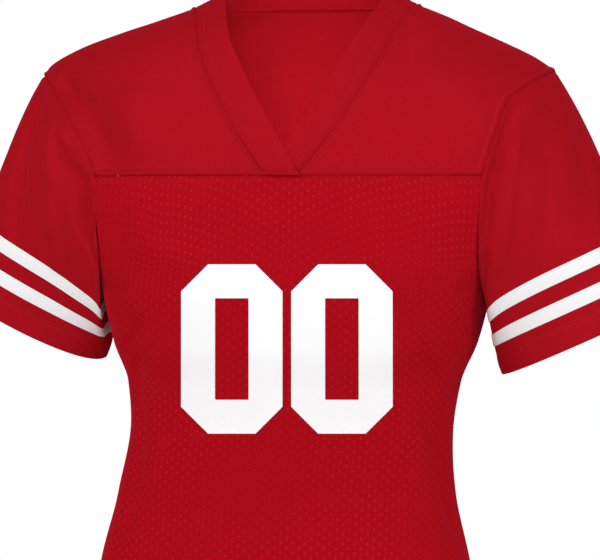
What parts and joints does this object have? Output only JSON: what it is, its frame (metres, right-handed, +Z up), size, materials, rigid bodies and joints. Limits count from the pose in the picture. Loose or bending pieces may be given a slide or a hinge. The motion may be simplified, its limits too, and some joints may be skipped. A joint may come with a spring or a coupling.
{
  "type": "football jersey",
  "caption": "Short-sleeved women's football jersey, filled out as when worn, with a crossed V neck, a smooth yoke over a mesh body, and striped sleeves.",
  "frame": {"origin": "midway between the two points where the shoulder seams meet the neck band, where the wearer's shoulders hold it", "axes": "+Z up, +X to the wearer's left, which is the right of the picture, and +Y from the front of the garment to its back"},
  "size_m": [0.6321, 0.238, 0.6802],
  "materials": {
    "mesh_knit": "matt pinhole mesh knit",
    "satin_knit": "shiny close knit",
    "stripe_tape": "smooth white knit tape"
  },
  "bodies": {
    "root": {"front_body": "mesh_knit", "back_body": "mesh_knit", "front_yoke_right": "satin_knit", "front_yoke_left": "satin_knit", "back_yoke": "satin_knit", "neck_band": "satin_knit", "sleeve_right": "satin_knit", "sleeve_left": "satin_knit", "stripe_right_lower": "stripe_tape", "stripe_right_upper": "stripe_tape", "stripe_left_lower": "stripe_tape", "stripe_left_upper": "stripe_tape"}
  },
  "joints": []
}
